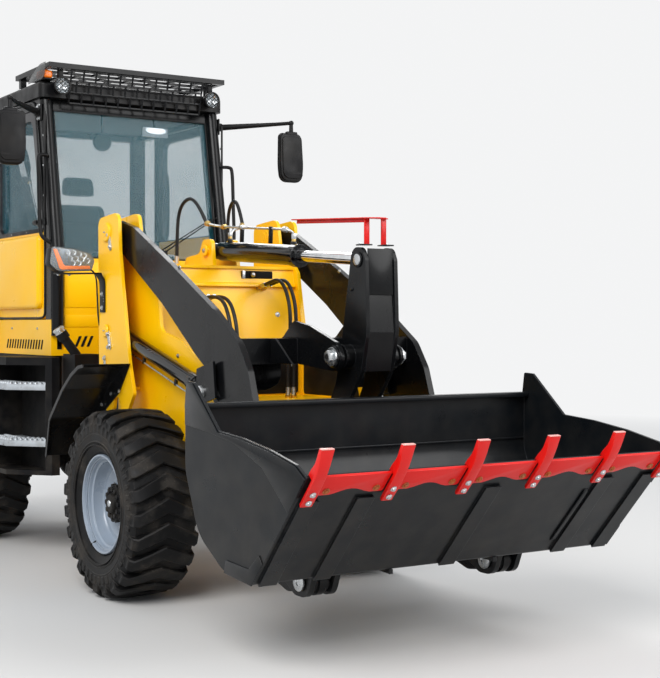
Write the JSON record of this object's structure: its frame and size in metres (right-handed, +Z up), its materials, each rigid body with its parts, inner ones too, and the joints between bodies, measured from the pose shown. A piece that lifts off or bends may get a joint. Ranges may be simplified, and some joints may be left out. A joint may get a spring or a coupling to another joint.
{
  "type": "articulated backhoe loader",
  "caption": "Articulated loader with a glazed cab, toothed front bucket on Z-bar arms, and a folding backhoe with drop stabilisers behind.",
  "frame": {"origin": "bottom centre of the whole machine's bounding box, on the ground", "axes": "+X forward to the loader bucket, +Y to the machine's left, +Z up"},
  "size_m": [7.2578, 2.26, 3.28],
  "materials": {
    "black_paint": "satin",
    "black_plastic": "matte",
    "cab_glass": "clear",
    "cast_engine": "matte",
    "chrome_rod": "polished",
    "grey_paint": "satin",
    "hose_rubber": "satin",
    "red_paint": "gloss",
    "seat_cloth": "woven",
    "silver_paint": "satin",
    "tyre_rubber": "matte",
    "yellow_paint": "gloss",
    "yellow_plastic": "gloss"
  },
  "bodies": {
    "rear_frame": {"rear_chassis": "black_paint", "stabiliser_frame": "black_paint", "rear_axle": "black_paint", "rear_fenders": "yellow_plastic", "engine": "cast_engine", "body_panels": "yellow_paint", "side_steps": "black_paint", "fuel_tank": "black_paint", "cab_frame": "black_paint", "cab_roof": "black_plastic", "cab_glass": "cab_glass", "roof_guard": "black_paint", "roof_lights": "black_paint", "mirrors": "black_plastic", "seat": "seat_cloth", "cab_controls": "black_plastic"},
    "front_frame": {"front_chassis": "yellow_paint", "front_axle": "black_paint", "front_fenders": "black_paint", "headlights": "black_paint", "hydraulic_hoses": "hose_rubber"},
    "wheel_front_left": {"tyre_front_left": "tyre_rubber", "rim_front_left": "silver_paint"},
    "wheel_front_right": {"tyre_front_right": "tyre_rubber", "rim_front_right": "silver_paint"},
    "wheel_rear_left": {"tyre_rear_left": "tyre_rubber", "rim_rear_left": "silver_paint"},
    "wheel_rear_right": {"tyre_rear_right": "tyre_rubber", "rim_rear_right": "silver_paint"},
    "door_left": {"door_left": "yellow_paint", "door_glass_left": "cab_glass"},
    "door_right": {"door_right": "yellow_paint", "door_glass_right": "cab_glass"},
    "loader_arms": {"loader_arms": "black_paint"},
    "bucket": {"bucket_shell": "grey_paint", "bucket_edge": "red_paint"},
    "rocker": {"rocker": "black_paint"},
    "bucket_link": {"bucket_link": "black_paint"},
    "tilt_barrel": {"tilt_barrel": "black_paint"},
    "tilt_rod": {"tilt_rod": "chrome_rod"},
    "lift_barrels": {"lift_barrels": "black_paint"},
    "lift_rods": {"lift_rods": "chrome_rod"},
    "steer_barrel_left": {"steer_barrel_left": "black_paint"},
    "steer_rod_left": {"steer_rod_left": "chrome_rod"},
    "steer_barrel_right": {"steer_barrel_right": "black_paint"},
    "steer_rod_right": {"steer_rod_right": "chrome_rod"},
    "swing_post": {"swing_post": "black_paint"},
    "boom": {"boom": "black_paint"},
    "stick": {"stick": "black_paint"},
    "hoe_bucket": {"hoe_bucket": "grey_paint"},
    "idler_links": {"idler_links": "black_paint"},
    "coupler_link": {"coupler_link": "black_paint"},
    "boom_ram_barrel": {"boom_ram_barrel": "black_paint"},
    "boom_ram_rod": {"boom_ram_rod": "chrome_rod"},
    "stick_ram_barrel": {"stick_ram_barrel": "black_paint"},
    "stick_ram_rod": {"stick_ram_rod": "chrome_rod"},
    "hoe_ram_barrel": {"hoe_ram_barrel": "black_paint"},
    "hoe_ram_rod": {"hoe_ram_rod": "chrome_rod"},
    "stabiliser_leg_left": {"stabiliser_leg_left": "black_paint"},
    "stabiliser_leg_right": {"stabiliser_leg_right": "black_paint"}
  },
  "joints": [
    {"name": "articulation", "type": "hinge", "parent": "rear_frame", "child": "front_frame", "pos_m": [-0.19745, 0, 0.69], "axis": [0, 0, 1], "range_deg": [-35, 35]},
    {"name": "wheel_front_left_spin", "type": "hinge", "parent": "front_frame", "child": "wheel_front_left", "pos_m": [1.10255, 0.755, 0.53], "axis": [0, 1, 0], "continuous": true},
    {"name": "wheel_front_right_spin", "type": "hinge", "parent": "front_frame", "child": "wheel_front_right", "pos_m": [1.10255, -0.755, 0.53], "axis": [0, 1, 0], "continuous": true},
    {"name": "wheel_rear_left_spin", "type": "hinge", "parent": "rear_frame", "child": "wheel_rear_left", "pos_m": [-1.49745, 0.755, 0.53], "axis": [0, 1, 0], "continuous": true},
    {"name": "wheel_rear_right_spin", "type": "hinge", "parent": "rear_frame", "child": "wheel_rear_right", "pos_m": [-1.49745, -0.755, 0.53], "axis": [0, 1, 0], "continuous": true},
    {"name": "door_left_hinge", "type": "hinge", "parent": "rear_frame", "child": "door_left", "pos_m": [-1.41345, 0.677, 2], "axis": [0, 0, 1], "range_deg": [0, 95]},
    {"name": "door_right_hinge", "type": "hinge", "parent": "rear_frame", "child": "door_right", "pos_m": [-1.41345, -0.677, 2], "axis": [0, 0, -1], "range_deg": [0, 95]},
    {"name": "loader_lift", "type": "hinge", "parent": "front_frame", "child": "loader_arms", "pos_m": [0.49255, 0, 2.1], "axis": [0, -1, 0], "range_deg": [-3, 66]},
    {"name": "bucket_tilt", "type": "hinge", "parent": "loader_arms", "child": "bucket", "pos_m": [2.78255, 0, 0.335], "axis": [0, 1, 0], "range_deg": [0, 149]},
    {"name": "rocker_turn", "type": "hinge", "parent": "loader_arms", "child": "rocker", "pos_m": [2.38255, 0, 1.375], "axis": [0, -1, 0], "range_deg": [-1.2, 61.05]},
    {"name": "bucket_link_turn", "type": "hinge", "parent": "bucket", "child": "bucket_link", "pos_m": [2.48255, 0, 0.42], "axis": [0, -1, 0], "range_deg": [-2.95, 150.47]},
    {"name": "tilt_barrel_turn", "type": "hinge", "parent": "front_frame", "child": "tilt_barrel", "pos_m": [0.78255, 0, 1.99], "axis": [0, -1, 0], "range_deg": [-4.34, 67.65]},
    {"name": "tilt_rod_slide", "type": "slide", "parent": "tilt_barrel", "child": "tilt_rod", "axis": [0.9975, 0, -0.0712], "range_m": [-0.306, 0.006]},
    {"name": "lift_barrels_turn", "type": "hinge", "parent": "front_frame", "child": "lift_barrels", "pos_m": [0.48255, 0, 1.5], "axis": [0, -1, 0], "range_deg": [-3.9, 60.72]},
    {"name": "lift_rods_slide", "type": "slide", "parent": "lift_barrels", "child": "lift_rods", "axis": [0.9663, 0, -0.2574], "range_m": [-0.04123, 0.64255]},
    {"name": "steer_barrel_left_turn", "type": "hinge", "parent": "rear_frame", "child": "steer_barrel_left", "pos_m": [-0.40745, 0.25, 0.69], "axis": [0, 0, 1], "range_deg": [-26.39, 26.39]},
    {"name": "steer_rod_left_slide", "type": "slide", "parent": "steer_barrel_left", "child": "steer_rod_left", "axis": [0.9973, 0.0733, 0], "range_m": [-0.16076, 0.16076]},
    {"name": "steer_barrel_right_turn", "type": "hinge", "parent": "rear_frame", "child": "steer_barrel_right", "pos_m": [-0.40745, -0.25, 0.69], "axis": [0, 0, 1], "range_deg": [-26.39, 26.39]},
    {"name": "steer_rod_right_slide", "type": "slide", "parent": "steer_barrel_right", "child": "steer_rod_right", "axis": [0.9973, -0.0733, 0], "range_m": [-0.16076, 0.16076]},
    {"name": "backhoe_swing", "type": "hinge", "parent": "rear_frame", "child": "swing_post", "pos_m": [-2.41745, 0, 0.82], "axis": [0, 0, 1], "range_deg": [-75, 75]},
    {"name": "boom_lower", "type": "hinge", "parent": "swing_post", "child": "boom", "pos_m": [-2.67745, 0, 0.8], "axis": [0, -1, 0], "range_deg": [0, 110]},
    {"name": "stick_reach", "type": "hinge", "parent": "boom", "child": "stick", "pos_m": [-2.94745, 0, 2.95], "axis": [0, 1, 0], "range_deg": [0, 110]},
    {"name": "hoe_bucket_turn", "type": "hinge", "parent": "stick", "child": "hoe_bucket", "pos_m": [-3.39745, 0, 1.56], "axis": [0, 1, 0], "range_deg": [0, 135]},
    {"name": "idler_turn", "type": "hinge", "parent": "stick", "child": "idler_links", "pos_m": [-3.34245, 0, 1.837], "axis": [0, 1, 0], "range_deg": [-2.13, 108.72]},
    {"name": "coupler_turn", "type": "hinge", "parent": "hoe_bucket", "child": "coupler_link", "pos_m": [-3.49545, 0, 1.403], "axis": [0, -1, 0], "range_deg": [-2.57, 131.04]},
    {"name": "boom_ram_turn", "type": "hinge", "parent": "swing_post", "child": "boom_ram_barrel", "pos_m": [-2.51345, 0, 1.109], "axis": [0, -1, 0], "range_deg": [-2.31, 117.97]},
    {"name": "boom_ram_slide", "type": "slide", "parent": "boom_ram_barrel", "child": "boom_ram_rod", "axis": [0.1081, 0, 0.9941], "range_m": [-0.01129, 0.57564]},
    {"name": "stick_ram_turn", "type": "hinge", "parent": "boom", "child": "stick_ram_barrel", "pos_m": [-2.35745, 0, 2.2], "axis": [0, 1, 0], "range_deg": [-0.1, 5.01]},
    {"name": "stick_ram_slide", "type": "slide", "parent": "stick_ram_barrel", "child": "stick_ram_rod", "axis": [-0.5133, 0, 0.8582], "range_m": [-0.4448, 0.00872]},
    {"name": "hoe_ram_turn", "type": "hinge", "parent": "stick", "child": "hoe_ram_barrel", "pos_m": [-3.11145, 0, 2.644], "axis": [0, 1, 0], "range_deg": [-0.08, 4.24]},
    {"name": "hoe_ram_slide", "type": "slide", "parent": "hoe_ram_barrel", "child": "hoe_ram_rod", "axis": [-0.3925, 0, -0.9197], "range_m": [-0.35092, 0.00688]},
    {"name": "stabiliser_left_drop", "type": "slide", "parent": "rear_frame", "child": "stabiliser_leg_left", "axis": [0, 0, -1], "range_m": [0, 0.42]},
    {"name": "stabiliser_right_drop", "type": "slide", "parent": "rear_frame", "child": "stabiliser_leg_right", "axis": [0, 0, -1], "range_m": [0, 0.42]}
  ],
  "couplings": [
    {"joint": "rocker_turn", "follows": "bucket_tilt", "ratio": 0.40168},
    {"joint": "bucket_link_turn", "follows": "bucket_tilt", "ratio": 0.99003},
    {"joint": "tilt_barrel_turn", "follows": "loader_lift", "ratio": 1.005},
    {"joint": "tilt_rod_slide", "follows": "bucket_tilt", "m_per_rad": -0.11536},
    {"joint": "lift_barrels_turn", "follows": "loader_lift", "ratio": 0.90199},
    {"joint": "lift_rods_slide", "follows": "loader_lift", "m_per_rad": 0.54687},
    {"joint": "steer_barrel_left_turn", "follows": "articulation", "ratio": 0.73926},
    {"joint": "steer_rod_left_slide", "follows": "articulation", "m_per_rad": -0.25801},
    {"joint": "steer_barrel_right_turn", "follows": "articulation", "ratio": 0.73926},
    {"joint": "steer_rod_right_slide", "follows": "articulation", "m_per_rad": 0.25801},
    {"joint": "idler_turn", "follows": "hoe_bucket_turn", "ratio": 0.78951},
    {"joint": "coupler_turn", "follows": "hoe_bucket_turn", "ratio": 0.9516},
    {"joint": "boom_ram_turn", "follows": "boom_lower", "ratio": 1.0515},
    {"joint": "boom_ram_slide", "follows": "boom_lower", "m_per_rad": 0.29396},
    {"joint": "stick_ram_turn", "follows": "stick_reach", "ratio": 0.044674},
    {"joint": "stick_ram_slide", "follows": "stick_reach", "m_per_rad": -0.22714},
    {"joint": "hoe_ram_turn", "follows": "hoe_bucket_turn", "ratio": 0.030773},
    {"joint": "hoe_ram_slide", "follows": "hoe_bucket_turn", "m_per_rad": -0.14602}
  ]
}
